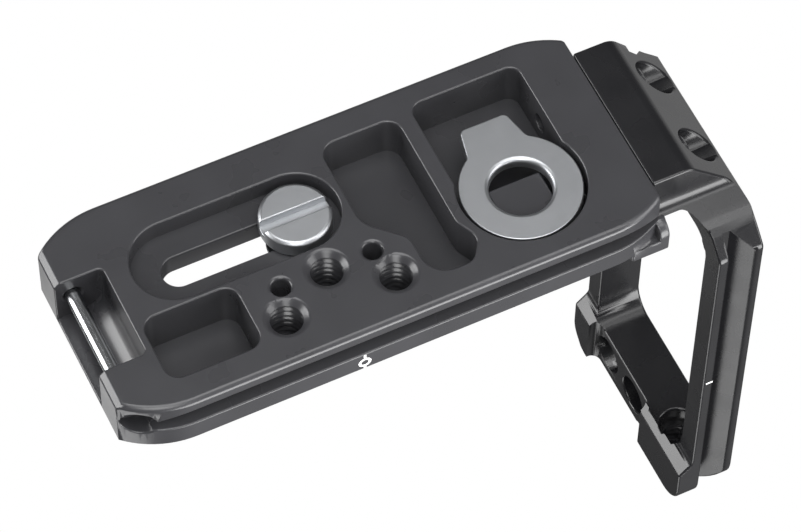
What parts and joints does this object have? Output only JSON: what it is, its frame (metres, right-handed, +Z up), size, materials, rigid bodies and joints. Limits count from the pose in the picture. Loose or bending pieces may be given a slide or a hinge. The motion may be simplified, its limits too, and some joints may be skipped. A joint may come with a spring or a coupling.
{
  "type": "camera l-bracket",
  "caption": "L-shaped camera bracket: dovetail base plate with captive camera screw, strap pin and stored flat key, and an open upright dovetail side plate.",
  "frame": {"origin": "on the axis of the base plate's middle thread, in the plane of the base dovetail's clamping face", "axes": "+X along the plate towards the side plate, +Y towards the edge with the centre mark, +Z up to the camera"},
  "size_m": [0.1041, 0.0426, 0.0871],
  "materials": {
    "plate_black": "bead-blasted, black anodised",
    "side_black": "bead-blasted, black anodised",
    "screw_black": "black oxide",
    "steel_satin": "satin, turned",
    "clip_steel": "spring steel",
    "pin_steel": "ground and polished",
    "key_steel": "satin, stamped",
    "magnet_nickel": "nickel plated"
  },
  "bodies": {
    "bracket": {"base_plate": "plate_black", "side_plate": "side_black", "side_screw_front": "screw_black", "side_screw_rear": "screw_black", "strap_pin": "pin_steel", "key_magnet_left": "magnet_nickel", "key_magnet_right": "magnet_nickel"},
    "screw_carrier": {"retaining_clip": "clip_steel"},
    "camera_screw": {"camera_screw": "steel_satin"},
    "flat_key": {"flat_key": "key_steel"}
  },
  "joints": [
    {"name": "screw_slide", "type": "slide", "parent": "bracket", "child": "screw_carrier", "axis": [1, 0, 0], "range_m": [-0.0193, 0]},
    {"name": "screw_turn", "type": "hinge", "parent": "screw_carrier", "child": "camera_screw", "pos_m": [0, -0.01117, 0.008], "axis": [0, 0, 1], "continuous": true},
    {"name": "key_lift", "type": "slide", "parent": "bracket", "child": "flat_key", "axis": [0, 0, -1], "range_m": [0, 0.012]}
  ]
}
